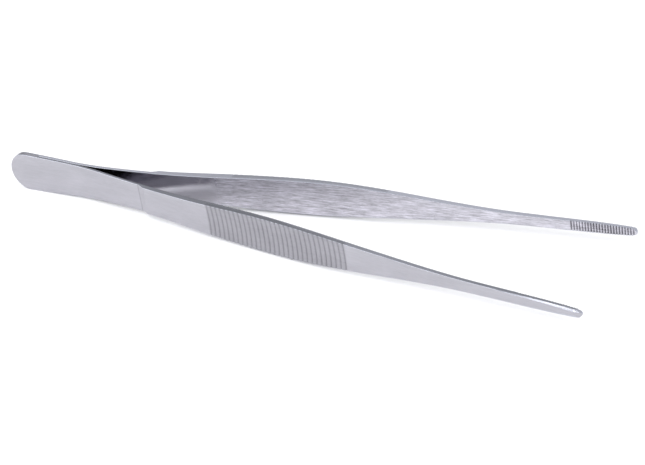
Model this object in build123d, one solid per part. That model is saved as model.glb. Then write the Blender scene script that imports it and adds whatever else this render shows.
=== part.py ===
"""Long straight aquascaping tweezers: two stainless steel arms welded together at the butt.

Row frame, millimetres: +X from the butt to the tips, +Y towards the left arm, +Z up.
The tweezers lie on the narrow edges of their arms, with the origin under the middle of the box.
Each arm is one strip of steel. It is written as three solids, because it bends between two of them:
the welded heel, the thin leaf that acts as the spring, and the stiff limb with its grip and jaw.
The left arm is drawn, and the right arm is its mirror image.
"""

from build123d import *
from math import asin, cos, degrees, radians, sin
import os

# Overall
overall_length = 270.0  # butt to tips
# Heel: the two arms lie face to face here and are welded
heel_length = 29.0
heel_width = 17.2
heel_round = 8.0  # run of the rounded end
heel_taper = 0.02  # slope of the long edges where the rounded end begins
# Spring leaf: ground thinner than the limb, on the outer face
leaf_length = 37.5
leaf_thickness = 1.2
leaf_bend_length = 18.0  # where the arms part
spread_angle = 7.9  # of each arm's leaf and grip from the middle plane, degrees
waist_width = 12.7
waist_past_leaf = 6.4  # from the end of the leaf to the narrowest place
# Limb
step_length = 3.5  # ramp from the leaf up to the limb's thickness
step_thickness = 2.3
grip_start = 37.0  # from the end of the leaf to the first rib groove
grip_length = 65.5
grip_width = 15.6
grip_widest = 36.0  # from the first rib groove to the widest place
grip_thickness = 2.85  # at the first rib groove
limb_bend_length = 36.0  # gentle inward bend near the end of the grip
limb_bend_past_grip = 9.0  # how far that bend goes on past the last rib groove
bend_thickness = 2.1  # at the end of that bend
jaw_angle = 5.2  # of each shank and jaw from the middle plane, degrees
shank_width = 5.3  # where the shank has become slender
shank_thickness = 1.85
slender_run = 50.0  # from the end of the grip to there
# Jaw
jaw_length = 26.5  # from the first tooth groove to the tip
jaw_width = 4.7
jaw_thickness = 1.85
jaw_taper = 0.06  # slope of the long edges where the nose begins
tip_width = 3.6
nose_length = 3.2  # rounded end, seen from the side
nose_round = 1.5  # rounded end, seen from above
nose_flat = 0.5  # thickness left at the very tip
nose_lead = 0.05  # the rounding starts this far outside the outer face
bevel_length = 40.0  # bevel on the outer edges, from where it begins to the tip
bevel_height = 1.0  # how much of the outer face it takes at the nose
bevel_depth = 0.45  # how much of the narrow face it takes there
# Rib grooves across the grip, and teeth across the jaw
rib_count = 30
rib_groove_width = 1.1
rib_groove_depth = 0.3
rib_arc_radius = 60.0  # the grooves bow towards the tips
tooth_groove_count = 23
tooth_groove_width = 0.85
tooth_groove_depth = 0.45
last_tooth_inset = 1.6  # from the tip to the last groove
# Edges and weld
edge_radius = 0.2
along_limit = 0.75  # an edge whose direction rises less than this runs along the arm
weld_reach = 15.0  # from the butt, along the edges
weld_width = 1.0
weld_depth = 0.6
tool_margin = 2.0  # how far a cutter stands past what it cuts

# Places that follow from the sizes
butt_x = -overall_length / 2
mid_z = max(heel_width, grip_width) / 2
leaf_end = heel_length + leaf_length
grip_first = leaf_end + grip_start
grip_last = grip_first + grip_length
limb_bend_end = grip_last + limb_bend_past_grip
limb_bend_start = limb_bend_end - limb_bend_length
slender_start = grip_last + slender_run
spread = radians(spread_angle)
jaw_slope = radians(jaw_angle)
grip_taper = (grip_thickness - bend_thickness) / (limb_bend_end - grip_first)
side_reach = overall_length * sin(spread) + grip_thickness


def after_bend(x, y, heading, turn, run):
    """The point that a circular bend of that run reaches, and its new heading."""
    radius = run / turn
    return (
        x + radius * (sin(heading + turn) - sin(heading)),
        y - radius * (cos(heading + turn) - cos(heading)),
        heading + turn,
    )


def after_straight(x, y, heading, run):
    return x + run * cos(heading), y + run * sin(heading), heading


def inner_at(run):
    """Point and heading of the arm's inner face, at a run along it from the butt."""
    x, y, heading = after_straight(0.0, 0.0, 0.0, min(run, heel_length))
    if run <= heel_length:
        return x, y, heading
    bent = min(run - heel_length, leaf_bend_length)
    x, y, heading = after_bend(x, y, heading, spread * bent / leaf_bend_length, bent)
    spread_end = heel_length + leaf_bend_length
    if run <= spread_end:
        return x, y, heading
    x, y, heading = after_straight(x, y, heading, min(run, limb_bend_start) - spread_end)
    if run <= limb_bend_start:
        return x, y, heading
    bent = min(run - limb_bend_start, limb_bend_length)
    turn = (jaw_slope - spread) * bent / limb_bend_length
    x, y, heading = after_bend(x, y, heading, turn, bent)
    if run <= limb_bend_end:
        return x, y, heading
    return after_straight(x, y, heading, run - limb_bend_end)


def arm_run():
    """The run along the inner face at which the arm is as long as overall_length."""
    bend_x, _, heading = inner_at(limb_bend_end)
    return limb_bend_end + (overall_length - bend_x) / cos(heading)


tip_run = arm_run()
jaw_first = tip_run - jaw_length


def off_inner(run, distance):
    """A point that far outside the inner face."""
    x, y, heading = inner_at(run)
    return butt_x + x - distance * sin(heading), y + distance * cos(heading)


def direction(run, inward=0.0):
    """The arm's direction there, turned inward by a small angle in radians."""
    heading = inner_at(run)[2] - inward
    return Vector(cos(heading), sin(heading))


def grip_depth(run):
    """Thickness of the grip and its bend, which taper from the first rib groove on."""
    return grip_thickness - grip_taper * (run - grip_first)


def bend_edge(start, end, first_distance, last_distance):
    """A circular stretch along a bend of the inner face, from one distance outside it to another."""
    middle = off_inner((start + end) / 2, (first_distance + last_distance) / 2)
    return ThreePointArc(off_inner(start, first_distance), middle, off_inner(end, last_distance))


def side_outline():
    """The arm's outline seen from the side, as a face in the XZ plane about the middle height."""
    heel_half, tip_half = heel_width / 2, tip_width / 2
    start = (butt_x + heel_round, heel_half)
    end = (butt_x + overall_length - nose_length, tip_half)
    waist = (butt_x + leaf_end + waist_past_leaf, waist_width / 2)
    grip = (butt_x + grip_first + grip_widest, grip_width / 2)
    slender = (butt_x + slender_start, shank_width / 2)
    jaw = (butt_x + overall_length - jaw_length, jaw_width / 2)
    slopes = [(1, -heel_taper), (1, -jaw_taper)]
    body = Spline(start, waist, grip, slender, jaw, end, tangents=slopes)
    heel_end = EllipticalCenterArc((start[0], 0), heel_round, heel_half, 90, arc_size=90)
    nose = EllipticalCenterArc((end[0], 0), nose_length, tip_half, 0, arc_size=90)
    upper = [heel_end, body, nose]
    return make_face(upper + [mirror(edge, Plane.XZ) for edge in upper])


def prism(outline, width):
    """A face drawn in the side view, given that width across the middle plane."""
    upright = Plane((0, width / 2, mid_z), x_dir=(1, 0, 0), z_dir=(0, -1, 0))
    return extrude(upright * outline, width)


def arm_zone(edges, side_prism):
    """What the side outline leaves of a stretch that is drawn from above."""
    slab = extrude(make_face(edges), 2 * mid_z + tool_margin)
    return (slab & side_prism).solids()[0]


def joined(*points):
    return [Line(a, b) for a, b in zip(points, points[1:])]


def rounded(zone, shortest):
    """The zone with the edges rounded that run along the arm and are longer than that."""
    along = [edge for edge in zone.edges() if abs(edge.tangent_at(0.5).Z) < along_limit]
    thinnest = min(leaf_thickness, nose_flat)
    return fillet([edge for edge in along if edge.length > shortest], min(edge_radius, thinnest / 2))


def make_heel(side_prism):
    corners = [(0, 0), (heel_length, 0), (heel_length, leaf_thickness), (0, leaf_thickness), (0, 0)]
    return arm_zone(joined(*[(butt_x + x, y) for x, y in corners]), side_prism)


def make_leaf(side_prism):
    spread_end = heel_length + leaf_bend_length
    edges = [
        bend_edge(heel_length, spread_end, 0, 0),
        *joined(
            off_inner(spread_end, 0),
            off_inner(leaf_end, 0),
            off_inner(leaf_end, leaf_thickness),
            off_inner(spread_end, leaf_thickness),
        ),
        bend_edge(heel_length, spread_end, leaf_thickness, leaf_thickness),
        Line(off_inner(heel_length, leaf_thickness), off_inner(heel_length, 0)),
    ]
    return arm_zone(edges, side_prism)


def make_limb(side_prism):
    """Blank for the limb: its nose is cut afterwards, so it runs on past the tip here."""
    step_end = leaf_end + step_length
    past_tip = tip_run + tool_margin
    bend_depth = grip_depth(limb_bend_start)
    edges = [
        Line(off_inner(leaf_end, 0), off_inner(limb_bend_start, 0)),
        bend_edge(limb_bend_start, limb_bend_end, 0, 0),
        *joined(
            off_inner(limb_bend_end, 0),
            off_inner(past_tip, 0),
            off_inner(past_tip, jaw_thickness),
            off_inner(jaw_first, jaw_thickness),
        ),
        Spline(
            off_inner(jaw_first, jaw_thickness),
            off_inner(slender_start, shank_thickness),
            off_inner(limb_bend_end, bend_thickness),
            tangents=[-direction(jaw_first), -direction(limb_bend_end, grip_taper)],
        ),
        bend_edge(limb_bend_start, limb_bend_end, bend_depth, bend_thickness),
        Line(off_inner(limb_bend_start, bend_depth), off_inner(grip_first, grip_thickness)),
        Spline(
            off_inner(grip_first, grip_thickness),
            off_inner(step_end, step_thickness),
            tangents=[-direction(grip_first, grip_taper), -direction(step_end)],
        ),
        *joined(
            off_inner(step_end, step_thickness),
            off_inner(leaf_end, leaf_thickness),
            off_inner(leaf_end, 0),
        ),
    ]
    return arm_zone(edges, side_prism)


def vee_corners(run, distance, width, depth, inward):
    """Corners of a V groove cut from a face at that distance; inward is +1 to cut towards +distance."""
    rise = tool_margin * width / (2 * depth)
    mouth = distance - inward * tool_margin
    return [
        off_inner(run, distance + inward * depth),
        off_inner(run - width / 2 - rise, mouth),
        off_inner(run + width / 2 + rise, mouth),
    ]


def tooth_grooves():
    """Straight V grooves across the inner face of the jaw."""
    pitch = (jaw_length - last_tooth_inset) / (tooth_groove_count - 1)
    cutters = []
    for index in range(tooth_groove_count):
        run = tip_run - last_tooth_inset - index * pitch
        corners = vee_corners(run, 0, tooth_groove_width, tooth_groove_depth, 1)
        outline = make_face(joined(*corners, corners[0]))
        cutters.append(extrude(outline, 2 * mid_z))
    return cutters


def rib_grooves():
    """V grooves across the outer face of the grip, each an arc of a ring about an axis nearer the butt."""
    pitch = grip_length / (rib_count - 1)
    half_angle = degrees(asin(grip_width / rib_arc_radius / 2)) + tool_margin
    rise = tool_margin * rib_groove_width / (2 * rib_groove_depth)
    cutters = []
    for index in range(rib_count):
        run = grip_first + index * pitch
        x, y = off_inner(run, grip_depth(run))
        along = direction(run, grip_taper)
        centre = Plane((x, y, mid_z), x_dir=along, z_dir=along.rotate(Axis.Z, 90))
        section = Plane((0, 0, 0), x_dir=(1, 0, 0), z_dir=(0, -1, 0)) * make_face(
            joined(
                (rib_arc_radius, -rib_groove_depth),
                (rib_arc_radius + rib_groove_width / 2 + rise, tool_margin),
                (rib_arc_radius - rib_groove_width / 2 - rise, tool_margin),
                (rib_arc_radius, -rib_groove_depth),
            )
        )
        ring = revolve(section, Axis.Z, 2 * half_angle).rotate(Axis.Z, -half_angle)
        cutters.append(centre * Pos(-rib_arc_radius, 0, 0) * ring)
    return cutters


def weld_bead(side_face):
    """The bead round the butt end, level with the edges that it joins."""
    round_x = butt_x + heel_round
    past_bead = butt_x + weld_reach + tool_margin
    inner_half = heel_width / 2 - weld_depth
    inner_round = heel_round - weld_depth
    upper = [
        EllipticalCenterArc((round_x, 0), inner_round, inner_half, 90, arc_size=90),
        Line((round_x, inner_half), (past_bead, inner_half)),
    ]
    lower = [mirror(edge, Plane.XZ) for edge in upper]
    core = make_face([*upper, *lower, Line((past_bead, inner_half), (past_bead, -inner_half))])
    reach = Pos(butt_x, 0, mid_z) * Box(2 * weld_reach, 2 * weld_width, 2 * heel_width)
    return (prism(side_face, weld_width) & reach) - prism(core, 2 * weld_width)


def nose_cutter():
    """Rounds the tip, seen from above, from its outer face."""
    nose_start, past_tip = tip_run - nose_round, tip_run + tool_margin
    arc = TangentArc(
        off_inner(nose_start, jaw_thickness + nose_lead),
        off_inner(tip_run, nose_flat),
        tangent=direction(tip_run),
    )
    lines = joined(
        off_inner(tip_run, nose_flat),
        off_inner(past_tip, nose_flat - tool_margin),
        off_inner(past_tip, jaw_thickness + tool_margin),
        off_inner(nose_start, jaw_thickness + tool_margin),
        off_inner(nose_start, jaw_thickness + nose_lead),
    )
    return extrude(make_face([arc, *lines]), 2 * mid_z)


def jaw_bevel():
    """Takes the upper outer edge off the jaw, by a width that grows from nothing towards the tip."""
    start_run = tip_run - bevel_length
    end_run = tip_run - nose_length
    share = (start_run - slender_start) / (jaw_first - slender_start)
    start_width = shank_width + (jaw_width - shank_width) * share
    start = Vector(*off_inner(start_run, jaw_thickness), mid_z + start_width / 2)
    top = mid_z + tip_width / 2
    on_face = Vector(*off_inner(end_run, jaw_thickness), top - bevel_height)
    on_edge = Vector(*off_inner(end_run, jaw_thickness - bevel_depth), top)
    normal = (on_edge - start).cross(on_face - start)
    cut = Plane(start, x_dir=on_face - start, z_dir=normal)
    reach = 2 * bevel_length
    block = Box(reach, heel_width, heel_width, align=(Align.MIN, Align.CENTER, Align.MIN))
    return cut * block


def make_arm(side_prism):
    """The left arm's heel, leaf and limb."""
    heel = rounded(make_heel(side_prism), heel_length / 4)
    leaf = rounded(make_leaf(side_prism), leaf_bend_length / 2)
    blank = rounded(make_limb(side_prism), step_length / 2)
    upper_bevel = jaw_bevel()
    lower_bevel = mirror(upper_bevel, Plane.XY.offset(mid_z))
    limb = blank - [nose_cutter(), upper_bevel, lower_bevel] - tooth_grooves() - rib_grooves()
    return heel, leaf, limb


if __name__ == "__main__":
    os.makedirs("parts", exist_ok=True)
    side_face = side_outline()
    bead = weld_bead(side_face)
    heel, leaf, limb = make_arm(prism(side_face, 2 * side_reach))
    left = {"heel": heel - bead, "spring_leaf": leaf, "limb": limb}
    for name, shape in left.items():
        export_step(shape, f"parts/left_{name}.step")
        export_step(mirror(shape, Plane.XZ), f"parts/right_{name}.step")
    export_step(bead, "parts/butt_weld.step")
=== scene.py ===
"""Long straight aquascaping tweezers: the visual model, laid out as an add-on and run as a script.

Everything is in metres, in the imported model's frame: +X from the butt to the tips, +Y towards the
left arm, +Z up, with the tweezers lying on the narrow edges of their arms.
"""

import math

import bmesh
import bpy
import numpy as np
from bpy.props import FloatProperty, FloatVectorProperty, IntProperty, PointerProperty
from mathutils import Matrix, Vector


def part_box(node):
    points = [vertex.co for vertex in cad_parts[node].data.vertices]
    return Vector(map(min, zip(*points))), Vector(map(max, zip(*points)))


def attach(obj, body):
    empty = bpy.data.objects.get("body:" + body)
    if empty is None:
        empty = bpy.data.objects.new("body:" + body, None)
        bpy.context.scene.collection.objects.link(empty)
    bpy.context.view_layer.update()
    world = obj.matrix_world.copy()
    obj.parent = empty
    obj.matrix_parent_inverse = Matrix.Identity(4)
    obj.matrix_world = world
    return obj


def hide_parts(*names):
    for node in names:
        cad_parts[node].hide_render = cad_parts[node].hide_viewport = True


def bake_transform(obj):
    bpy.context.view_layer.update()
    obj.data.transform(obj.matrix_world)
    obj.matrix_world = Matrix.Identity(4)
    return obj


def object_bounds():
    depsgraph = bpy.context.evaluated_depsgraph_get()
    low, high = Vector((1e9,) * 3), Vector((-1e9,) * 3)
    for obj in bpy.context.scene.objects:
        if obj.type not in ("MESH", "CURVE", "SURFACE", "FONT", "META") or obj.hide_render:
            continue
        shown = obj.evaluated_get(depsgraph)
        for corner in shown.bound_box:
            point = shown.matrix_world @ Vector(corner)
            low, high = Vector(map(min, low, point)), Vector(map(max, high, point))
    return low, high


bl_info = {
    "name": "Aquascaping Tweezers",
    "version": (1, 0, 0),
    "blender": (4, 5, 0),
    "location": "View3D > Sidebar > Tweezers",
    "description": "Builds long straight tweezers with ribbed grips and toothed jaws",
    "category": "Add Mesh",
}

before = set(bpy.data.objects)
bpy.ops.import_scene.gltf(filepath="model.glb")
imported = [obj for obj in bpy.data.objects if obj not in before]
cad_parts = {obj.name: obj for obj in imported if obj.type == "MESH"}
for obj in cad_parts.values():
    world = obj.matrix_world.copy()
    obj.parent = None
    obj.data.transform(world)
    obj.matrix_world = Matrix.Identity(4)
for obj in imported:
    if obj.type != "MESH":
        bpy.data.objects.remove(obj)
cad_low, cad_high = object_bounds()

# Places taken from the frame
HEEL_LOW, HEEL_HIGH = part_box("left_heel")
LIMB_LOW, LIMB_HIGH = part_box("left_limb")
BUTT_X = cad_low.x
MID_Z = (HEEL_LOW.z + HEEL_HIGH.z) / 2
OVERALL_LENGTH = cad_high.x - cad_low.x
HEEL_LENGTH = HEEL_HIGH.x - HEEL_LOW.x
HEEL_WIDTH = HEEL_HIGH.z - HEEL_LOW.z
GRIP_WIDTH = LIMB_HIGH.z - LIMB_LOW.z
LEAF_THICKNESS = HEEL_HIGH.y - HEEL_LOW.y
WELD_LOW, WELD_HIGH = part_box("butt_weld")

# Which surface of an arm a face belongs to
INNER, EDGE, OUTER = 0, 1, 2

# Shape, in metres where it isn't a share
SLOPE_STEP = 1e-5  # run to each side of the place where the outline's slope is taken
RAMP_HOLLOW = 1.3  # power of the ramp's rise: 1 is straight, more is hollow
ROUND_FLATNESS = 0.3  # 0 is a full round on the long edges, 1 a flat bevel
BEVEL_ONSET = 0.1  # share of the bevel's run over which it turns from a round into a flat facet
BOW_FADE = 0.012  # from the first and last rib to where the cross-sections are straight
STRAIGHT = 1000.0  # bow radius of the grooves that are straight
INSET_LIMIT = 0.98  # share of the half width that the rounding of an edge may take
INNER_LIMIT, OUTER_LIMIT = 0.45, 0.6  # the same for the thickness, and for what the inner edge leaves
WELD_END = 0.0012  # run over which the weld fades out
WELD_TAPER = 0.7  # share of its section that it loses there
WELD_CROWN = 0.00003  # how far its sides lie below its middle

# Faces
ACROSS = 12  # rows across an arm's inner and outer face
INNER_STEPS, OUTER_STEPS = 4, 6  # rows in the rounding of an inner and an outer edge
EDGE_HOLD = 0.0001  # width of the row of faces beside a rounding, which keeps the flat faces flat
HOLD_LIMIT = 0.3  # the widest that row may be, as a share of the narrow face
WELD_STEPS = 6  # rows of the weld on each side of its middle
PER_GROOVE = 8  # cross-sections to a rib or a tooth
ARC_STEP = 6  # degrees between the cross-sections of a rounded end
HEEL_SPACING, LEAF_SPACING, LIMB_SPACING = 0.0015, 0.001, 0.002  # runs between cross-sections
MARK_GAP = 0.0006  # least run from an evenly spaced one to the next feature
RAMP_SECTIONS, SHANK_SECTIONS, WELD_SECTIONS = 13, 40, 20
MERGE_WITHIN, NO_LENGTH = 2e-6, 1e-7  # points that close become one, and shorter edges go
NO_WIDTH, LEAST_SLOPE = 1e-9, 1e-6  # below these an outline has shrunk to a point, or runs straight up
SHARP_FROM = math.radians(32)  # least angle of a sharp edge

# Looks
CREASE_HALF = 0.0005  # half width of the painted shade line at the foot of the ramp
CREASE_PAINTED_SHADE = 1.2  # strength of the painted shade there, beside 1 for the bottom of a groove
GRIP_PAINTED_SHADE = 0.8  # painted shade over the ribbed part between its grooves, for the darker look of its bumpy surface
GROOVE_ROUGHENS = 0.08  # roughness that full painted shade adds
POLISH_FULL, POLISH_END = 0.092, 0.099  # runs between which the polish and the painted dark reflection inside the throat fade out
POLISH_EVENS = 2.8  # how much that polish evens out the streaks and patches
THROAT_PAINTED_REFLECTION = 0.55  # how much darker the painted dark reflection makes the steel in the throat
BUMP_HEIGHT = 0.00002  # height of the grain's relief
SCRATCH_DEPTH = 1.5  # depth of a scratch, beside 1 for the grain
FINISH_NAMES = {
    "outer": "Satin Steel",
    "inner": "Ground Steel",
    "edge": "Polished Edge Steel",
    "weld": "Ground Weld Steel",
}

# Stage
BACK_DROP = 0.6  # how much darker the band behind the object is
BEHIND = Vector((-0.45, 0.71, 0.0)).normalized()  # the band's middle
BAND_HEIGHT = 0.50, 0.62  # heights, as the direction's z, between which it ends
BAND_SIDES = 0.45, 0.75  # cosines of the turns from its middle between which it fades in
FLOOR_HALF, FLOOR_GAP = 4.0, 0.0001  # half its side, and how far it lies below the object
CLIP = 0.05, 50.0  # nearest and farthest that the camera sees
LIGHTS = (  # name, place, width, height, power in W
    ("Key", (0.3, -1.1, 1.3), 1.2, 1.2, 14.0),
    ("Fill", (-1.0, -0.5, 1.1), 1.2, 1.2, 6.0),
    ("Low Strip", (-0.76, -1.04, 0.18), 0.6, 0.22, 1.8),
)


def length(default, name, description):
    return FloatProperty(
        name=name, description=description, default=default, min=0.0, unit="LENGTH", precision=5
    )


def angle(default, name, description):
    return FloatProperty(name=name, description=description, default=default, subtype="ANGLE")


def colour(default, name, description):
    return FloatVectorProperty(
        name=name, description=description, default=default, size=3, min=0, max=1, subtype="COLOR"
    )


def amount(default, name, description):
    return FloatProperty(name=name, description=description, default=default, min=0.0)


class ArmSizes(bpy.types.PropertyGroup):
    """Shape of one arm; the other is its mirror image."""

    heel_round: length(0.008, "Heel Round", "Run of the rounded butt end")
    leaf_length: length(0.0375, "Leaf Length", "Spring leaf, from the heel to the step")
    leaf_bend: length(0.018, "Leaf Bend", "Run over which the arms part")
    spread: angle(math.radians(7.9), "Spread", "Angle of the leaf and grip from the middle plane")
    heel_taper: amount(0.02, "Heel Taper", "Slope of the long edges where the rounded end begins")
    waist_width: length(0.0127, "Waist Width", "Narrowest width, just past the leaf")
    waist_past_leaf: length(0.0064, "Waist Past Leaf", "From the end of the leaf to the waist")
    step_length: length(0.0035, "Step Length", "Ramp from the leaf up to the limb")
    step_thickness: length(0.0023, "Step Thickness", "Thickness at the top of the ramp")
    grip_start: length(0.037, "Grip Start", "From the end of the leaf to the first rib")
    grip_length: length(0.0655, "Grip Length", "From the first rib to the last")
    grip_widest: length(0.036, "Grip Widest", "From the first rib to the widest place")
    grip_thickness: length(0.00285, "Grip Thickness", "Thickness at the first rib")
    limb_bend: length(0.036, "Limb Bend", "Run of the gentle bend at the end of the grip")
    bend_past_grip: length(0.009, "Bend Past Grip", "How far that bend goes on past the last rib")
    bend_thickness: length(0.0021, "Bend Thickness", "Thickness at the end of the bend")
    jaw_angle: angle(math.radians(5.2), "Jaw Angle", "Angle of the shank from the middle plane")
    shank_width: length(0.0053, "Shank Width", "Width where the shank has become slender")
    shank_thickness: length(0.00185, "Shank Thickness", "Thickness there")
    slender_run: length(0.05, "Slender Run", "From the end of the grip to there")
    jaw_length: length(0.0265, "Jaw Length", "From the first tooth groove to the tip")
    jaw_width: length(0.0047, "Jaw Width", "Width where the teeth start")
    jaw_thickness: length(0.00185, "Jaw Thickness", "Thickness of the jaw")
    jaw_taper: amount(0.06, "Jaw Taper", "Slope of the long edges where the nose begins")
    tip_width: length(0.0036, "Tip Width", "Width where the nose starts")
    nose_length: length(0.0032, "Nose Length", "Run of the rounded nose, seen from the side")
    nose_round: length(0.0015, "Nose Round", "Run of the rounded nose, seen from above")
    nose_flat: length(0.0005, "Nose Flat", "Thickness left at the very tip")
    edge_round: length(0.00012, "Edge Round", "Rounding of the long edges")
    edge_slant: angle(math.radians(4), "Edge Slant", "Slant of the narrow faces towards the inner face")
    bevel_length: length(0.040, "Bevel Length", "Bevel on the outer edges, from its start to the tip")
    bevel_height: length(0.0010, "Bevel Height", "How much of the outer face it takes at the nose")
    bevel_depth: length(0.00045, "Bevel Depth", "How far it goes into the thickness there")
    weld_groove: length(0.0006, "Weld Depth", "How deep the weld goes between the arms' edges")


class GrooveSizes(bpy.types.PropertyGroup):
    """Rib grooves across the grips and tooth grooves across the jaws."""

    rib_count: IntProperty(name="Ribs", description="Grooves on each grip", default=30, min=1)
    rib_width: length(0.00113, "Rib Groove Width", "Width of one groove on the grip")
    rib_depth: length(0.0003, "Rib Groove Depth", "Depth of one groove on the grip")
    rib_bow: length(0.06, "Rib Bow Radius", "Radius of the arc that each groove follows")
    tooth_count: IntProperty(name="Teeth", description="Grooves on each jaw", default=23, min=1)
    tooth_width: length(0.00085, "Tooth Groove Width", "Width of one groove on the jaw")
    tooth_depth: length(0.00045, "Tooth Groove Depth", "Depth of one groove on the jaw")
    last_tooth_inset: length(0.0016, "Last Tooth Inset", "From the tip to the last groove")


class SteelFinish(bpy.types.PropertyGroup):
    """Colours and polish of the stainless steel."""

    satin: colour((0.425, 0.42, 0.455), "Satin Steel", "Colour of the outer faces")
    ground: colour((0.535, 0.525, 0.575), "Ground Steel", "Colour of the inner faces")
    polished: colour((0.45, 0.46, 0.515), "Polished Steel", "Colour of the narrow edges")
    weld: colour((0.44, 0.435, 0.475), "Weld Steel", "Colour of the ground weld")
    satin_roughness: amount(0.36, "Satin Roughness", "Roughness of the outer faces")
    ground_roughness: amount(0.40, "Ground Roughness", "Roughness of the inner faces")
    edge_roughness: amount(0.22, "Edge Roughness", "Roughness of the narrow edges")
    weld_roughness: amount(0.30, "Weld Roughness", "Roughness of the ground weld")


class StudioSizes(bpy.types.PropertyGroup):
    """Camera, floor and light."""

    azimuth: angle(math.radians(32.5), "Azimuth", "Camera's direction round the object")
    elevation: angle(math.radians(33.3), "Elevation", "Camera's height above the horizon")
    roll: angle(math.radians(-9.26), "Roll", "Camera's turn about its own axis")
    distance: length(1.0, "Distance", "Camera to the point it looks at")
    look_x: length(0.012, "Look-at X", "Point that the camera looks at, along the tweezers")
    look_z: length(0.0034, "Look-at Z", "Height of that point")
    lens: FloatProperty(name="Lens", description="Focal length, mm", default=141.1, min=1)
    dome: amount(1.0, "Dome Light", "Strength of the even light from all sides")
    floor: colour((0.93, 0.93, 0.935), "Floor", "Colour of the floor")


# ---------------------------------------------------------------- shape of an arm


def clamped_spline(xs, ys, first_slope, last_slope):
    """The smooth curve through the points with those end slopes, as a function of x."""
    xs, ys = np.asarray(xs, float), np.asarray(ys, float)
    step, rise = np.diff(xs), np.diff(ys) / np.diff(xs)
    n = len(xs)
    matrix, right = np.eye(n), np.zeros(n)
    right[0], right[-1] = first_slope, last_slope
    for i in range(1, n - 1):
        matrix[i, i - 1 : i + 2] = step[i], 2 * (step[i - 1] + step[i]), step[i - 1]
        right[i] = 3 * (step[i] * rise[i - 1] + step[i - 1] * rise[i])
    slopes = np.linalg.solve(matrix, right)

    def value(x):
        i = int(np.clip(np.searchsorted(xs, x) - 1, 0, n - 2))
        t = (x - xs[i]) / step[i]
        return (
            ys[i] * (1 + 2 * t) * (1 - t) ** 2
            + ys[i + 1] * t * t * (3 - 2 * t)
            + step[i] * (slopes[i] * t * (1 - t) ** 2 - slopes[i + 1] * t * t * (1 - t))
        )

    return value


def eased(x, start, end):
    """0 before start, 1 after end, smooth between them."""
    t = min(1.0, max(0.0, (x - start) / (end - start)))
    return t * t * (3 - 2 * t)


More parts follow.
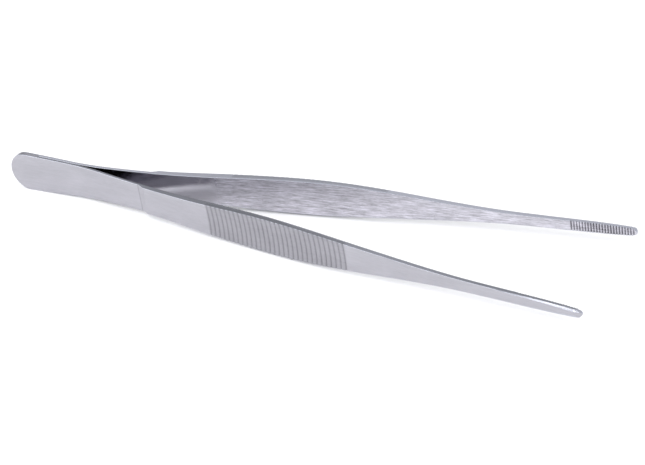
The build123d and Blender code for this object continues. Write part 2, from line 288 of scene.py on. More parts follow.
class ArmShape:
    """Inner line, thickness, outline and edge rounding of the left arm, by run along the inner face."""

    def __init__(self, sizes, grooves):
        self.sizes, self.grooves = sizes, grooves
        self.leaf_end = HEEL_LENGTH + sizes.leaf_length
        self.step_end = self.leaf_end + sizes.step_length
        self.grip_first = self.leaf_end + sizes.grip_start
        self.grip_last = self.grip_first + sizes.grip_length
        self.bend_end = self.grip_last + sizes.bend_past_grip
        self.bend_start = self.bend_end - sizes.limb_bend
        self.slender = self.grip_last + sizes.slender_run
        bend_x, _, heading = self.inner(self.bend_end)
        self.tip = self.bend_end + (OVERALL_LENGTH - bend_x) / math.cos(heading)
        self.jaw_first = self.tip - sizes.jaw_length
        self.nose_start = self.tip - sizes.nose_length
        self.bevel_start = self.tip - sizes.bevel_length
        self.rib_pitch = sizes.grip_length / (grooves.rib_count - 1)
        self.tooth_pitch = (sizes.jaw_length - grooves.last_tooth_inset) / (grooves.tooth_count - 1)
        width_at = {
            sizes.heel_round: HEEL_WIDTH,
            self.leaf_end + sizes.waist_past_leaf: sizes.waist_width,
            self.grip_first + sizes.grip_widest: GRIP_WIDTH,
            self.slender: sizes.shank_width,
            self.jaw_first: sizes.jaw_width,
            self.nose_start: sizes.tip_width,
        }
        halves = [width / 2 for width in width_at.values()]
        self._width = clamped_spline(list(width_at), halves, -sizes.heel_taper, -sizes.jaw_taper)
        thinning = sizes.grip_thickness - sizes.bend_thickness
        self.grip_taper = thinning / (self.bend_end - self.grip_first)
        self._to_grip = clamped_spline(
            [self.step_end, self.grip_first],
            [sizes.step_thickness, sizes.grip_thickness],
            0,
            -self.grip_taper,
        )
        self._to_jaw = clamped_spline(
            [self.bend_end, self.slender, self.jaw_first],
            [sizes.bend_thickness, sizes.shank_thickness, sizes.jaw_thickness],
            -self.grip_taper,
            0,
        )

    def inner(self, run):
        """x from the butt, y and heading of the inner face."""
        sizes = self.sizes
        x, y, heading = min(run, HEEL_LENGTH), 0.0, 0.0
        stretches = (
            (HEEL_LENGTH, sizes.leaf_bend, sizes.spread),
            (HEEL_LENGTH + sizes.leaf_bend, self.bend_start - HEEL_LENGTH - sizes.leaf_bend, 0.0),
            (self.bend_start, sizes.limb_bend, sizes.jaw_angle - sizes.spread),
            (self.bend_end, math.inf, 0.0),
        )
        for start, stretch, turn in stretches:
            part = min(run - start, stretch)
            if part <= 0:
                break
            if turn:
                radius, turned = stretch / turn, turn * part / stretch
                x += radius * (math.sin(heading + turned) - math.sin(heading))
                y -= radius * (math.cos(heading + turned) - math.cos(heading))
                heading += turned
            else:
                x += part * math.cos(heading)
                y += part * math.sin(heading)
        return x, y, heading

    def thickness(self, run):
        """The ramp is a little hollow and ends in a crease; the nose is rounded off."""
        sizes = self.sizes
        if run <= self.leaf_end:
            return LEAF_THICKNESS
        if run <= self.step_end:
            t = (run - self.leaf_end) / (self.step_end - self.leaf_end)
            return LEAF_THICKNESS + (sizes.step_thickness - LEAF_THICKNESS) * t**RAMP_HOLLOW
        if run <= self.grip_first:
            return self._to_grip(run)
        if run <= self.bend_end:
            return sizes.grip_thickness - self.grip_taper * (run - self.grip_first)
        full = self._to_jaw(min(run, self.jaw_first))
        t = min(1.0, 1 - (self.tip - run) / sizes.nose_round)
        if t <= 0:
            return full
        nose = sizes.nose_flat + (sizes.jaw_thickness - sizes.nose_flat) * math.sqrt(1 - t * t)
        return min(full, nose)

    def outline(self, run):
        """Half width, and the outline's outward normal (along, up), at a run."""
        sizes = self.sizes
        if run < sizes.heel_round:
            t = max(-1.0, run / sizes.heel_round - 1)
            up = math.sqrt(1 - t * t)
            normal = Vector((t / sizes.heel_round, up / (HEEL_WIDTH / 2)))
            return HEEL_WIDTH / 2 * up, normal.normalized()
        if run > self.nose_start:
            t = min(1.0, (run - self.nose_start) / sizes.nose_length)
            up = math.sqrt(1 - t * t)
            normal = Vector((t / sizes.nose_length, up / (sizes.tip_width / 2)))
            return sizes.tip_width / 2 * up, normal.normalized()
        slope = (self._width(run + SLOPE_STEP) - self._width(run - SLOPE_STEP)) / (2 * SLOPE_STEP)
        return self._width(run), Vector((-slope, 1)).normalized()

    def welded(self, run):
        """1 beside the weld, 0 past it."""
        reach = WELD_HIGH.x - BUTT_X
        return 1 - eased(run, reach - WELD_END, reach)

    def slant(self, run):
        """Slope of the narrow faces down towards the inner face, as shearing and grinding leave it."""
        return math.tan(self.sizes.edge_slant) * (1 - self.welded(run))

    def inner_edge(self, run):
        """Inset from the outline and depth of the inner edge's rounding; a V beside the weld."""
        weld = self.welded(run)
        round_by, groove = self.sizes.edge_round, self.sizes.weld_groove
        half = (WELD_HIGH.y - WELD_LOW.y) / 2
        return round_by + (groove - round_by) * weld, round_by + (half - round_by) * weld

    def outer_edge(self, run):
        """Inset, depth and flatness of the outer edge: a small round, then a bevel that widens."""
        sizes = self.sizes
        grown = min(1.0, max(0.0, (run - self.bevel_start) / (self.nose_start - self.bevel_start)))
        kept = 1 - eased(run, self.nose_start, self.tip - sizes.nose_flat)
        inset = sizes.edge_round + (sizes.bevel_height - sizes.edge_round) * grown * kept
        depth = sizes.edge_round + (sizes.bevel_depth - sizes.edge_round) * grown
        flat = min(1.0, grown / BEVEL_ONSET) * kept
        return inset, depth, ROUND_FLATNESS + (1 - ROUND_FLATNESS) * flat

    def painted_shade(self, run, depth):
        """Painted shade on the outer face: a dark line at the foot of the ramp, and darker all over the
        ribbed part.
        """
        if depth < LEAF_THICKNESS / 2:
            return 0.0
        crease = max(0.0, 1 - abs(run - self.leaf_end) / CREASE_HALF)
        ribbed = eased(run, self.grip_first - self.rib_pitch / 2, self.grip_first)
        ribbed *= 1 - eased(run, self.grip_last, self.grip_last + self.rib_pitch / 2)
        return max(CREASE_PAINTED_SHADE * crease, GRIP_PAINTED_SHADE * ribbed)

    def place(self, run, depth, height):
        """A point of the left arm, outward of its inner face by depth and above its middle by height."""
        x, y, heading = self.inner(run)
        return (
            BUTT_X + x - depth * math.sin(heading),
            y + depth * math.cos(heading),
            MID_Z + height,
        )

    def runs(self):
        """Runs of the cross-sections: close together where there are grooves or the shape turns."""
        ramp = self.leaf_end + CREASE_HALF, self.step_end + CREASE_HALF
        first, after = self.grip_first - self.rib_pitch, self.grip_last + self.rib_pitch
        rib_marks = (self.grooves.rib_count + 1) * PER_GROOVE + 1
        jaw, nose = self.jaw_first - self.tooth_pitch, self.sizes.nose_round
        marks = heel_arc(self.sizes.heel_round, ARC_STEP)
        marks += list(np.arange(self.sizes.heel_round, HEEL_LENGTH, HEEL_SPACING))
        marks += list(np.arange(HEEL_LENGTH, self.leaf_end - MARK_GAP, LEAF_SPACING))
        marks += list(self.leaf_end + CREASE_HALF * np.array((-1, -0.5, 0, 0.5)))
        marks += list(np.linspace(*ramp, RAMP_SECTIONS))
        marks += list(np.arange(self.step_end + 2 * CREASE_HALF, first - MARK_GAP, LIMB_SPACING))
        marks += list(first + self.rib_pitch / PER_GROOVE * np.arange(rib_marks))
        marks += list(np.linspace(after, jaw, SHANK_SECTIONS)[1:-1])
        marks += list(np.arange(jaw, self.tip - nose, self.tooth_pitch / PER_GROOVE))
        turns = range(ARC_STEP, 90 + ARC_STEP, ARC_STEP)
        marks += [self.tip - nose * (1 - math.sin(math.radians(turn))) for turn in turns]
        return sorted(marks)


def heel_arc(radius, step):
    """Runs along the butt's rounded end, evenly spaced by angle; step is in degrees."""
    return [radius * (1 - math.cos(math.radians(turn))) for turn in range(0, 90, step)]


def edge_profile(inset, depth, steps, flatness):
    """Points (inset, depth) from the face to the narrow edge: a bevel, rounded unless flatness is 1."""
    points = []
    for k in range(steps + 1):
        t = k / steps
        a = t * math.pi / 2
        bevel = (inset * (1 - t), depth * t)
        arc = (inset * (1 - math.sin(a)), depth * (1 - math.cos(a)))
        points.append([flatness * b + (1 - flatness) * r for b, r in zip(bevel, arc)])
    return points


def ring(shape, run):
    """One cross-section, all the way round from the inner face's lower edge.

    Each point is (run, depth, height, surface).
    """
    half, normal = shape.outline(run)
    thick, slant = shape.thickness(run), shape.slant(run)
    in_inset, in_depth = shape.inner_edge(run)
    out_inset, out_depth, flatness = shape.outer_edge(run)
    if half > NO_WIDTH:  # at a point an inset goes only along the arm, so it needs no limit
        reach = INSET_LIMIT * half / max(normal.y, LEAST_SLOPE)
        in_inset, out_inset = min(in_inset, reach), min(out_inset, reach)
    in_depth = min(in_depth, INNER_LIMIT * thick)
    out_depth = min(out_depth, OUTER_LIMIT * (thick - in_depth))

    def at(inset, depth, share=1.0):
        inset += slant * (thick - depth)
        return run - inset * normal.x, depth, share * max(0.0, half - inset * normal.y)

    rounding = edge_profile(in_inset, in_depth, INNER_STEPS, ROUND_FLATNESS)
    upper = [(*at(inset, depth), EDGE) for inset, depth in rounding]
    low, high = in_depth, thick - out_depth
    hold = min(HOLD_LIMIT, EDGE_HOLD / (high - low))
    upper += [(*at(0, low + (high - low) * t), EDGE) for t in (hold, 0.5, 1 - hold)]
    rounding = edge_profile(out_inset, out_depth, OUTER_STEPS, flatness)
    upper += [(*at(inset, thick - depth), EDGE) for inset, depth in reversed(rounding)]
    hold = 1 - min(1 / ACROSS, EDGE_HOLD / max(half, EDGE_HOLD))
    shares = [hold] + [1 - 2 * k / ACROSS for k in range(1, ACROSS)] + [-hold]
    inner = [(*at(in_inset, 0.0, -s), INNER) for s in shares]
    outer = [(*at(out_inset, thick, s), OUTER) for s in shares]
    lower = [(r, d, -h, s) for r, d, h, s in reversed(upper)]
    return inner + upper + outer + lower


def bow_back(shape, run, height):
    """How far back a rib's arc lies at that height; it fades in and out round the grip."""
    radius = shape.grooves.rib_bow
    fade = eased(run, shape.grip_first - BOW_FADE, shape.grip_first - shape.rib_pitch)
    fade *= 1 - eased(run, shape.grip_last + shape.rib_pitch, shape.grip_last + BOW_FADE)
    return fade * (radius - math.sqrt(radius**2 - height**2))


def tube_faces(rings, count):
    """Quads round and along a tube whose cross-sections have that many points each."""
    return [
        (i * count + j, i * count + k, (i + 1) * count + k, (i + 1) * count + j)
        for i in range(rings - 1)
        for j, k in ((j, (j + 1) % count) for j in range(count))
    ]


def arm_blank(name, shape, side):
    """The arm without its grooves, with the attributes that the grooves and the finishes follow."""
    rings = [ring(shape, run) for run in shape.runs()]
    count = len(rings[0])
    verts, places, outward, under_outer, painted_shading = [], [], [], [], []
    for cross in rings:
        for run, depth, height, _ in cross:
            run -= bow_back(shape, run, height)
            x, y, z = shape.place(run, depth, height)
            heading = shape.inner(run)[2]
            verts.append((x, side * y, z))
            places.append((run, height, depth))
            outward.append((-math.sin(heading), side * math.cos(heading), 0.0))
            under_outer.append(shape.thickness(run) - depth)
            # painted shade: a dark line at the foot of the ramp and darker all over the ribbed part
            painted_shading.append(shape.painted_shade(run, depth))
    finish = []
    for cross in rings[:-1]:
        surfaces = [point[3] for point in cross]
        after = surfaces[1:] + surfaces[:1]
        finish += [one if one == two else EDGE for one, two in zip(surfaces, after)]
    mesh = bpy.data.meshes.new(name)
    mesh.from_pydata(verts, [], [quad[::side] for quad in tube_faces(len(rings), count)])
    for label, kind, domain, key, values in (
        ("place", "FLOAT_VECTOR", "POINT", "vector", places),
        ("outward", "FLOAT_VECTOR", "POINT", "vector", outward),
        ("under_outer", "FLOAT", "POINT", "value", under_outer),
        # the groove attribute carries the painted shade, to which the grooves add their own
        ("groove", "FLOAT", "POINT", "value", painted_shading),
        ("finish", "INT", "FACE", "value", finish),
    ):
        attribute = mesh.attributes.new(label, kind, domain)
        stored_as = np.int32 if kind == "INT" else np.float32
        attribute.data.foreach_set(key, np.ravel(values).astype(stored_as))
    blank = bpy.data.objects.new(name, mesh)
    bpy.context.scene.collection.objects.link(blank)
    return blank


# ---------------------------------------------------------------- grooves, by Geometry Nodes


class NodeMaker:
    """Short ways to add and link nodes in one tree."""

    def __init__(self, tree):
        self.tree = tree

    def add(self, kind, inputs=(), **settings):
        node = self.tree.nodes.new(kind)
        for key, value in settings.items():
            setattr(node, key, value)
        for socket, value in dict(inputs).items():
            self.plug(node.inputs[socket], value)
        return node

    def plug(self, socket, value):
        if isinstance(value, bpy.types.NodeSocket):
            self.tree.links.new(value, socket)
        else:
            socket.default_value = value

    def math(self, operation, *values, clamp=False):
        return self.add(
            "ShaderNodeMath", dict(enumerate(values)), operation=operation, use_clamp=clamp
        ).outputs[0]


def groove_tree(name):
    """Cuts a row of like V grooves across one face of an arm, marks painted shade in their bottoms, and
    gives the arm its three finishes.
    """
    tree = bpy.data.node_groups.new(name, "GeometryNodeTree")
    face = tree.interface
    face.new_socket("Geometry", in_out="INPUT", socket_type="NodeSocketGeometry")
    for label in ("First Groove", "Pitch", "Count", "Width", "Depth", "Bow Radius", "Inner Face"):
        face.new_socket(label, in_out="INPUT", socket_type="NodeSocketFloat")
    for label in ("Outer Finish", "Edge Finish", "Inner Finish"):
        face.new_socket(label, in_out="INPUT", socket_type="NodeSocketMaterial")
    face.new_socket("Geometry", in_out="OUTPUT", socket_type="NodeSocketGeometry")
    make = NodeMaker(tree)
    given = make.add("NodeGroupInput").outputs

    def named(label, kind):
        return make.add(
            "GeometryNodeInputNamedAttribute", {"Name": label}, data_type=kind
        ).outputs["Attribute"]

    calc = make.math
    place = make.add("ShaderNodeSeparateXYZ", {0: named("place", "FLOAT_VECTOR")}).outputs
    run, height, depth = place
    radius, pitch = given["Bow Radius"], given["Pitch"]
    drop = calc("SQRT", calc("SUBTRACT", calc("POWER", radius, 2.0), calc("POWER", height, 2.0)))
    bowed = calc("ADD", run, calc("SUBTRACT", radius, drop))
    along = calc("SUBTRACT", bowed, given["First Groove"])
    last = calc("SUBTRACT", given["Count"], 1.0)
    nearest = calc("MINIMUM", calc("ROUND", calc("DIVIDE", along, pitch)), last)
    nearest = calc("MAXIMUM", nearest, 0.0)
    away = calc("ABSOLUTE", calc("SUBTRACT", along, calc("MULTIPLY", nearest, pitch)))
    slope = calc("DIVIDE", calc("MULTIPLY", away, 2.0), given["Width"])
    cut = calc("MULTIPLY", calc("SUBTRACT", 1.0, slope, clamp=True), given["Depth"])
    inner = given["Inner Face"]
    from_outer = calc("MULTIPLY", calc("SUBTRACT", 1.0, inner), named("under_outer", "FLOAT"))
    under = calc("ADD", calc("MULTIPLY", inner, depth), from_outer)
    lift = calc("MAXIMUM", calc("SUBTRACT", cut, under), 0.0)
    side = calc("SUBTRACT", calc("MULTIPLY", inner, 2.0), 1.0)
    offset = make.add(
        "ShaderNodeVectorMath",
        {0: named("outward", "FLOAT_VECTOR"), "Scale": calc("MULTIPLY", lift, side)},
        operation="SCALE",
    ).outputs[0]
    # Painted shade: the deeper a point lies in a groove, the darker the finishes paint it, on top of the
    # painted shade already given
    painted_shading = calc("ADD", named("groove", "FLOAT"), calc("DIVIDE", lift, given["Depth"]))
    stored = make.add(
        "GeometryNodeStoreNamedAttribute",
        {"Geometry": given["Geometry"], "Name": "groove", "Value": painted_shading},
        data_type="FLOAT",
        domain="POINT",
    ).outputs[0]
    moved = make.add("GeometryNodeSetPosition", {"Geometry": stored, "Offset": offset}).outputs[0]
    solid = make.add("GeometryNodeRealizeInstances", {"Geometry": moved}).outputs[0]
    for which, label in ((INNER, "Inner Finish"), (EDGE, "Edge Finish"), (OUTER, "Outer Finish")):
        chosen = make.add(
            "FunctionNodeCompare",
            {2: named("finish", "INT"), 3: which},
            data_type="INT",
            operation="EQUAL",
        ).outputs[0]
        solid = make.add(
            "GeometryNodeSetMaterial", {"Geometry": solid, "Selection": chosen, "Material": given[label]}
        ).outputs[0]
    make.add("NodeGroupOutput", {0: solid})
    return tree


def cut_grooves(obj, tree, values):
    """Adds the tree as a modifier with its inputs set by identifier."""
    modifier = obj.modifiers.new(tree.name, "NODES")
    modifier.node_group = tree
    for item in tree.interface.items_tree:
        if item.item_type == "SOCKET" and item.in_out == "INPUT" and item.name in values:
            modifier[item.identifier] = values[item.name]


def made_plain(obj):
    """Turns the modifiers' result into the object's own mesh: doubles merged, no modifiers left."""
    bpy.context.view_layer.update()
    evaluated = obj.evaluated_get(bpy.context.evaluated_depsgraph_get())
    mesh = bpy.data.meshes.new_from_object(evaluated)
    obj.modifiers.clear()
    old, obj.data = obj.data, mesh
    bpy.data.meshes.remove(old)
    finish_mesh(mesh)


def finish_mesh(mesh):
    """Merges doubles, turns the normals outward and shades smooth, with sharp edges where they are."""
    work = bmesh.new()
    work.from_mesh(mesh)
    bmesh.ops.remove_doubles(work, verts=work.verts, dist=MERGE_WITHIN)
    bmesh.ops.dissolve_degenerate(work, edges=work.edges, dist=NO_LENGTH)
    bmesh.ops.recalc_face_normals(work, faces=work.faces)
    work.to_mesh(mesh)
    work.free()
    mesh.shade_smooth()
    mesh.set_sharp_from_angle(angle=SHARP_FROM)


# ---------------------------------------------------------------- finishes


def effect_group(name, inputs, outputs):
    """A shader group with those sockets and no effect yet: the tree, its maker and its inputs."""
    tree = bpy.data.node_groups.new(name, "ShaderNodeTree")
    for label, kind, default in inputs:
        socket = tree.interface.new_socket(label, in_out="INPUT", socket_type=kind)
        if default is not None:
            socket.default_value = default
    for label in outputs:
        tree.interface.new_socket(label, in_out="OUTPUT", socket_type="NodeSocketFloat")
    make = NodeMaker(tree)
    return tree, make, make.add("NodeGroupInput").outputs


def brushed_grain_group():
    """Streaks that run along the arm: long and soft ones, and a fine grain."""
    tree, make, given = effect_group(
        "Brushed Grain",
        (
            ("Place", "NodeSocketVector", None),
            ("Streak Length", "NodeSocketFloat", 0.02),
            ("Streak Width", "NodeSocketFloat", 0.0006),
        ),
        ("Streaks", "Grain"),
    )
    along = make.math("DIVIDE", 1.0, given["Streak Length"])
    across = make.math("DIVIDE", 1.0, given["Streak Width"])
    stretch = make.add("ShaderNodeCombineXYZ", {0: along, 1: across, 2: across}).outputs[0]
    coords = make.add(
        "ShaderNodeVectorMath", {0: given["Place"], 1: stretch}, operation="MULTIPLY"
    ).outputs[0]
    streaks = make.add(
        "ShaderNodeTexNoise", {"Vector": coords, "Scale": 1.0, "Detail": 3.0, "Roughness": 0.6}
    ).outputs["Fac"]
    grain = make.add(
        "ShaderNodeTexNoise", {"Vector": coords, "Scale": 3.7, "Detail": 2.0, "Roughness": 0.7}
    ).outputs["Fac"]
    make.add("NodeGroupOutput", {"Streaks": streaks, "Grain": grain})
    return tree


def reflection_patch_group():
    """Soft cloudy patches, which the finishes use as uneven roughness and as a painted reflection of a
    slightly wavy surface.
    """
    tree, make, given = effect_group(
        "Mottling",
        (("Place", "NodeSocketVector", None), ("Patch Size", "NodeSocketFloat", 0.008)),
        ("Patches",),
    )
    scale = make.math("DIVIDE", 1.0, given["Patch Size"])
    stretch = make.add(
        "ShaderNodeVectorMath", {0: given["Place"], 1: (0.45, 1.0, 1.0)}, operation="MULTIPLY"
    ).outputs[0]
    patches = make.add(
        "ShaderNodeTexNoise",
        {"Vector": stretch, "Scale": scale, "Detail": 4.0, "Roughness": 0.55, "Distortion": 0.4},
    ).outputs["Fac"]
    make.add("NodeGroupOutput", {"Patches": patches})
    return tree


def scratch_group():
    """Sparse fine scratches in two directions, as a mask."""
    tree, make, given = effect_group(
        "Handling Scratches",
        (("Place", "NodeSocketVector", None), ("Line Width", "NodeSocketFloat", 0.004)),
        ("Scratches",),
    )
    masks = []
    stretch = (40.0, 900.0, 300.0)
    for turn, seed in ((0.35, 3.1), (-1.1, 8.7)):
        turned = make.add(
            "ShaderNodeVectorRotate",
            {"Vector": given["Place"], "Axis": (0.0, 0.0, 1.0), "Angle": turn},
        ).outputs[0]
        coords = make.add(
            "ShaderNodeVectorMath",
            {0: turned, 1: stretch, 2: (seed, seed, seed)},
            operation="MULTIPLY_ADD",
        ).outputs[0]
        lines = make.add(
            "ShaderNodeTexNoise", {"Vector": coords, "Scale": 1.0, "Detail": 0.0}
        ).outputs["Fac"]
        near = make.math("ABSOLUTE", make.math("SUBTRACT", lines, 0.5))
        line = make.math("SUBTRACT", 1.0, make.math("DIVIDE", near, given["Line Width"]), clamp=True)
        where = make.add(
            "ShaderNodeTexNoise",
            {"Vector": given["Place"], "Scale": 130.0 + seed, "Detail": 1.0},
        ).outputs["Fac"]
        here = make.add(
            "ShaderNodeMapRange", {"Value": where, "From Min": 0.56, "From Max": 0.62}
        ).outputs[0]
        masks.append(make.math("MULTIPLY", line, here))
    make.add("NodeGroupOutput", {"Scratches": make.math("MAXIMUM", *masks)})
    return tree


def steel(
    key, base, roughness, groups, *, streak, patch, bump, tone, rough, scratches, painted_shade_strength, throat_polish_and_reflection=0.0
):
    """A stainless steel finish from the shared effects.

    streak is a length and a width, patch a size. tone is how far the streaks, the patches and the
    grain swing the brightness; the patches' swing is a painted reflection of a slightly wavy surface.
    rough is how far the first two swing the roughness. scratches is how much darker a scratch is; the
    argument after it is how much darker the painted shade makes a groove's bottom, the foot of the
    ramp and the ribbed part. The last is roughness taken off inside the throat, and it also paints a
    dark reflection there.
    """
    material = bpy.data.materials.new(FINISH_NAMES[key])
    material.use_nodes = True
    tree = material.node_tree
    tree.nodes.clear()
    make = NodeMaker(tree)
    calc = make.math
    place = make.add("ShaderNodeAttribute", attribute_name="place").outputs["Vector"]
    groove = make.add("ShaderNodeAttribute", attribute_name="groove").outputs["Fac"]

    def effect(group, **inputs):
        node = make.add("ShaderNodeGroup", node_tree=group)
        for label, value in {"Place": place, **inputs}.items():
            make.plug(node.inputs[label.replace("_", " ")], value)
        return node.outputs

    def centred(socket, gain):
        return calc("MULTIPLY", calc("SUBTRACT", socket, 0.5), gain)

    grain_group, patch_reflections, scratch = groups
    grain = effect(grain_group, Streak_Length=streak[0], Streak_Width=streak[1])
    streaks, grain = grain["Streaks"], grain["Grain"]
    patches = effect(patch_reflections, Patch_Size=patch)["Patches"]
    marks = effect(scratch)["Scratches"]
    run = make.add("ShaderNodeSeparateXYZ", {0: place}).outputs["X"]
    polished = make.add(
        "ShaderNodeMapRange",
        {
            "Value": run,
            "From Min": POLISH_FULL,
            "From Max": POLISH_END,
            "To Min": throat_polish_and_reflection,
            "To Max": 0.0,
        },
    ).outputs[0]
    uneven = calc("SUBTRACT", 1.0, calc("MULTIPLY", polished, POLISH_EVENS), clamp=True)

    # The patches' swing in brightness is a painted reflection of a slightly wavy surface
    shade = calc("ADD", centred(streaks, tone[0]), centred(patches, tone[1]))
    shade = calc("ADD", shade, centred(grain, tone[2]))
    shade = calc("SUBTRACT", shade, calc("MULTIPLY", marks, scratches))
    # Painted shade: darker at the bottoms of the grooves, at the foot of the ramp and all over the
    # ribbed part
    shade = calc("SUBTRACT", shade, calc("MULTIPLY", groove, painted_shade_strength))
    # Painted dark reflection: the steel is darker inside the throat
    full = calc("SUBTRACT", 1.0, calc("MULTIPLY", polished, THROAT_PAINTED_REFLECTION))
    brightness = calc("ADD", full, calc("MULTIPLY", shade, uneven))
    colour_here = make.add(
        "ShaderNodeVectorMath", {0: base, "Scale": brightness}, operation="SCALE"
    ).outputs[0]

    swing = calc("ADD", centred(streaks, rough[0]), centred(patches, rough[1]))
    rough_here = calc("SUBTRACT", roughness, polished)
    rough_here = calc("ADD", rough_here, calc("MULTIPLY", swing, uneven))
    rough_here = calc("ADD", rough_here, calc("MULTIPLY", groove, GROOVE_ROUGHENS), clamp=True)

    height = calc("ADD", grain, calc("MULTIPLY", marks, -SCRATCH_DEPTH))
    bumped = make.add(
        "ShaderNodeBump", {"Strength": bump, "Distance": BUMP_HEIGHT, "Height": height}
    ).outputs[0]
    shader = make.add(
        "ShaderNodeBsdfPrincipled",
        {"Base Color": colour_here, "Roughness": rough_here, "Metallic": 1.0, "Normal": bumped},
    )
    make.add("ShaderNodeOutputMaterial", {"Surface": shader.outputs[0]})


def make_finishes(settings):
    """Makes the four steel finishes, which share three effect groups."""
    groups = brushed_grain_group(), reflection_patch_group(), scratch_group()
    steel(
        "outer", settings.satin, settings.satin_roughness, groups,
        streak=(0.010, 0.0007), patch=0.009, bump=0.25,
        tone=(0.20, 0.26, 0.24), rough=(0.08, 0.10), scratches=0.12, painted_shade_strength=0.20,
    )
    steel(
        "inner", settings.ground, settings.ground_roughness, groups,
        streak=(0.007, 0.0006), patch=0.007, bump=0.6,
        tone=(1.9, 0.7, 1.2), rough=(0.2, 0.2), scratches=0.35, painted_shade_strength=0.6, throat_polish_and_reflection=0.30,
    )
    steel(
        "edge", settings.polished, settings.edge_roughness, groups,
        streak=(0.020, 0.0004), patch=0.008, bump=0.2,
        tone=(0.20, 0.12, 0.0), rough=(0.06, 0.06), scratches=0.05, painted_shade_strength=0.3,
    )
    steel(
        "weld", settings.weld, settings.weld_roughness, groups,
        streak=(0.003, 0.0004), patch=0.003, bump=0.4,
        tone=(0.15, 0.15, 0.05), rough=(0.08, 0.08), scratches=0.05, painted_shade_strength=0.0,
    )


def finish_named(key):
    """The finish of that name; all four are made the first time that one is asked for."""
    if FINISH_NAMES[key] not in bpy.data.materials:
        make_finishes(bpy.context.scene.steel_finish)
    return bpy.data.materials[FINISH_NAMES[key]]


# ---------------------------------------------------------------- operators


class TWEEZERS_OT_arms(bpy.types.Operator):
    """Builds both arms: the blanks, their ribs and teeth, and the bend in their spring leaves"""

    bl_idname = "tweezers.arms"
    bl_label = "Arms"

    def execute(self, context):
        shape = ArmShape(context.scene.arm_sizes, context.scene.groove_sizes)
        grooves = shape.grooves
        tree = groove_tree("Cross Grooves")
        looks = {
            "Outer Finish": finish_named("outer"),
            "Edge Finish": finish_named("edge"),
            "Inner Finish": finish_named("inner"),
        }
        ribs = {
            "First Groove": shape.grip_first,
            "Pitch": shape.rib_pitch,
            "Count": float(grooves.rib_count),
            "Width": grooves.rib_width,
            "Depth": grooves.rib_depth,
            "Bow Radius": grooves.rib_bow,
            "Inner Face": 0.0,
        }
        teeth = {
            "First Groove": shape.jaw_first,
            "Pitch": shape.tooth_pitch,
            "Count": float(grooves.tooth_count),
            "Width": grooves.tooth_width,
            "Depth": grooves.tooth_depth,
            "Bow Radius": STRAIGHT,
            "Inner Face": 1.0,
        }
        for word, side in (("left", 1), ("right", -1)):
            arm = arm_blank(f"{word}_arm", shape, side)
            cut_grooves(arm, tree, {**ribs, **looks})
            cut_grooves(arm, tree, {**teeth, **looks})
            made_plain(arm)
            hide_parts(f"{word}_heel", f"{word}_spring_leaf", f"{word}_limb")
            start = shape.place(HEEL_LENGTH, 0, 0)
            end = shape.place(shape.leaf_end, 0, 0)
            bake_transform(arm)
        return {"FINISHED"}


def weld_mesh(shape):
    """The bead's section, a low crown over a V, carried round the butt from edge to edge."""
    half_width = (WELD_HIGH.y - WELD_LOW.y) / 2
    reach = WELD_HIGH.x - BUTT_X
    upper = heel_arc(shape.sizes.heel_round, ARC_STEP // 2)
    upper += list(np.linspace(shape.sizes.heel_round, reach, WELD_SECTIONS))
    path = [(run, -1) for run in reversed(upper[1:])] + [(run, 1) for run in upper]
    shares = [k / WELD_STEPS for k in range(-WELD_STEPS, WELD_STEPS + 1)]
    crown = [(share * half_width, WELD_CROWN * share**2) for share in shares]
    count = len(crown) + 1
    verts, places = [], []
    for run, side in path:
        half, normal = shape.outline(run)
        taper = 1 - WELD_TAPER * eased(run, reach - WELD_END, reach)
        for y, inset in (*crown, (0.0, shape.sizes.weld_groove * taper)):
            along, height = run - inset * normal.x, half - inset * normal.y
            verts.append((BUTT_X + along, y * taper, MID_Z + side * height))
            places.append((along, height * side, y))
    last = (len(path) - 1) * count
    ends = [tuple(range(count)), tuple(last + j for j in reversed(range(count)))]
    mesh = bpy.data.meshes.new("weld_bead")
    mesh.from_pydata(verts, [], tube_faces(len(path), count) + ends)
    mesh.attributes.new("place", "FLOAT_VECTOR", "POINT").data.foreach_set(
        "vector", np.ravel(places).astype(np.float32)
    )
    return mesh


class TWEEZERS_OT_weld(bpy.types.Operator):
    """Builds the bead that joins the arms round the butt, ground level with their edges"""

    bl_idname = "tweezers.weld"
    bl_label = "Butt Weld"

    def execute(self, context):
        mesh = weld_mesh(ArmShape(context.scene.arm_sizes, context.scene.groove_sizes))
        finish_mesh(mesh)
        mesh.materials.append(finish_named("weld"))
        bead = bpy.data.objects.new("weld_bead", mesh)
        context.scene.collection.objects.link(bead)
        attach(bead, "heel")
        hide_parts("butt_weld")
        return {"FINISHED"}


class TWEEZERS_OT_stage(bpy.types.Operator):
    """Sets the floor, the light and the camera"""

    bl_idname = "tweezers.stage"
    bl_label = "Floor, Light and Camera"

    def execute(self, context):
        studio = context.scene.studio_sizes
        add_floor(studio)
        add_world(studio)
        add_lights()
        add_camera(studio)
        context.scene.view_settings.view_transform = "Standard"
        return {"FINISHED"}


def add_floor(studio):
    corners = [(x * FLOOR_HALF, y * FLOOR_HALF, 0) for x, y in ((-1, -1), (1, -1), (1, 1), (-1, 1))]
    mesh = bpy.data.meshes.new("floor")
    mesh.from_pydata(corners, [], [(0, 1, 2, 3)])
    floor = bpy.data.objects.new("floor", mesh)
    floor.location.z = cad_low.z - FLOOR_GAP
    bpy.context.scene.collection.objects.link(floor)
    material = bpy.data.materials.new("Pale Floor")
    material.use_nodes = True
    shader = material.node_tree.nodes["Principled BSDF"]
    shader.inputs["Base Color"].default_value = (*studio.floor, 1)
    shader.inputs["Roughness"].default_value = 0.9
    shader.inputs["Specular IOR Level"].default_value = 0.1
    mesh.materials.append(material)


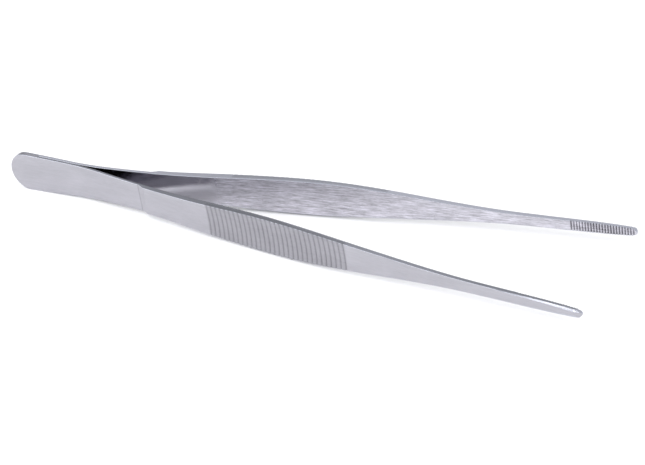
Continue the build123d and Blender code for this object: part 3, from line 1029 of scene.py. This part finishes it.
def add_world(studio):
    """Even pale light, darker in a low band behind the object, which the near top edges reflect."""
    world = bpy.data.worlds.new("Studio")
    bpy.context.scene.world = world
    world.use_nodes = True
    tree = world.node_tree
    tree.nodes.clear()
    make = NodeMaker(tree)
    direction = make.add("ShaderNodeTexCoord").outputs["Generated"]
    facing = make.add(
        "ShaderNodeVectorMath", {0: direction, 1: tuple(BEHIND)}, operation="DOT_PRODUCT"
    ).outputs["Value"]
    height = make.add("ShaderNodeSeparateXYZ", {0: direction}).outputs["Z"]

    def smooth(value, limits, start, end):
        inputs = {"From Min": limits[0], "From Max": limits[1], "To Min": start, "To Max": end}
        return make.add(
            "ShaderNodeMapRange", {"Value": value, **inputs}, interpolation_type="SMOOTHSTEP"
        ).outputs[0]

    low, there = smooth(height, BAND_HEIGHT, 1.0, 0.0), smooth(facing, BAND_SIDES, 0.0, 1.0)
    band = make.math("MULTIPLY", low, there)
    dark = make.math("SUBTRACT", 1.0, make.math("MULTIPLY", band, BACK_DROP))
    strength = make.math("MULTIPLY", dark, studio.dome)
    light = make.add("ShaderNodeBackground", {"Color": (0.97, 0.975, 1.0, 1), "Strength": strength})
    make.add("ShaderNodeOutputWorld", {"Surface": light.outputs[0]})


def aimed(location, target):
    back = (Vector(location) - Vector(target)).normalized()
    matrix = back.to_track_quat("Z", "Y").to_matrix().to_4x4()
    matrix.translation = location
    return matrix


def add_lights():
    for name, location, width, height, power in LIGHTS:
        light = bpy.data.lights.new(name, "AREA")
        light.shape, light.energy = "RECTANGLE", power
        light.size, light.size_y = width, height
        lamp = bpy.data.objects.new(name, light)
        lamp.matrix_world = aimed(location, (0, 0, 0))
        bpy.context.scene.collection.objects.link(lamp)


def add_camera(studio):
    a, e = studio.azimuth, studio.elevation
    back = Vector((math.sin(a) * math.cos(e), -math.cos(a) * math.cos(e), math.sin(e)))
    target = Vector((studio.look_x, 0, studio.look_z))
    turned = back.to_track_quat("Z", "Y").to_matrix().to_4x4() @ Matrix.Rotation(studio.roll, 4, "Z")
    turned.translation = target + back * studio.distance
    data = bpy.data.cameras.new("Camera")
    data.lens = studio.lens
    data.clip_start, data.clip_end = CLIP
    camera = bpy.data.objects.new("Camera", data)
    camera.matrix_world = turned
    bpy.context.scene.collection.objects.link(camera)
    bpy.context.scene.camera = camera


class TWEEZERS_PT_panel(bpy.types.Panel):
    """Lists the pieces and the stage"""

    bl_label = "Tweezers"
    bl_idname = "TWEEZERS_PT_panel"
    bl_space_type = "VIEW_3D"
    bl_region_type = "UI"
    bl_category = "Tweezers"

    def draw(self, context):
        for operator in OPERATORS:
            self.layout.operator(operator.bl_idname)
        for label in SETTINGS:
            group = getattr(context.scene, label)
            column = self.layout.column(heading=group.bl_rna.name)
            for key in group.__annotations__:
                column.prop(group, key)


SETTINGS = {
    "arm_sizes": ArmSizes,
    "groove_sizes": GrooveSizes,
    "steel_finish": SteelFinish,
    "studio_sizes": StudioSizes,
}
OPERATORS = (TWEEZERS_OT_arms, TWEEZERS_OT_weld, TWEEZERS_OT_stage)


def register():
    for cls in (*SETTINGS.values(), *OPERATORS, TWEEZERS_PT_panel):
        bpy.utils.register_class(cls)
    for label, cls in SETTINGS.items():
        setattr(bpy.types.Scene, label, PointerProperty(type=cls))


def unregister():
    for label in SETTINGS:
        delattr(bpy.types.Scene, label)
    for cls in (TWEEZERS_PT_panel, *reversed(OPERATORS), *reversed(SETTINGS.values())):
        bpy.utils.unregister_class(cls)


def main():
    register()
    bpy.ops.tweezers.arms()
    bpy.ops.tweezers.weld()
    bpy.ops.tweezers.stage()


if __name__ == "__main__":
    main()
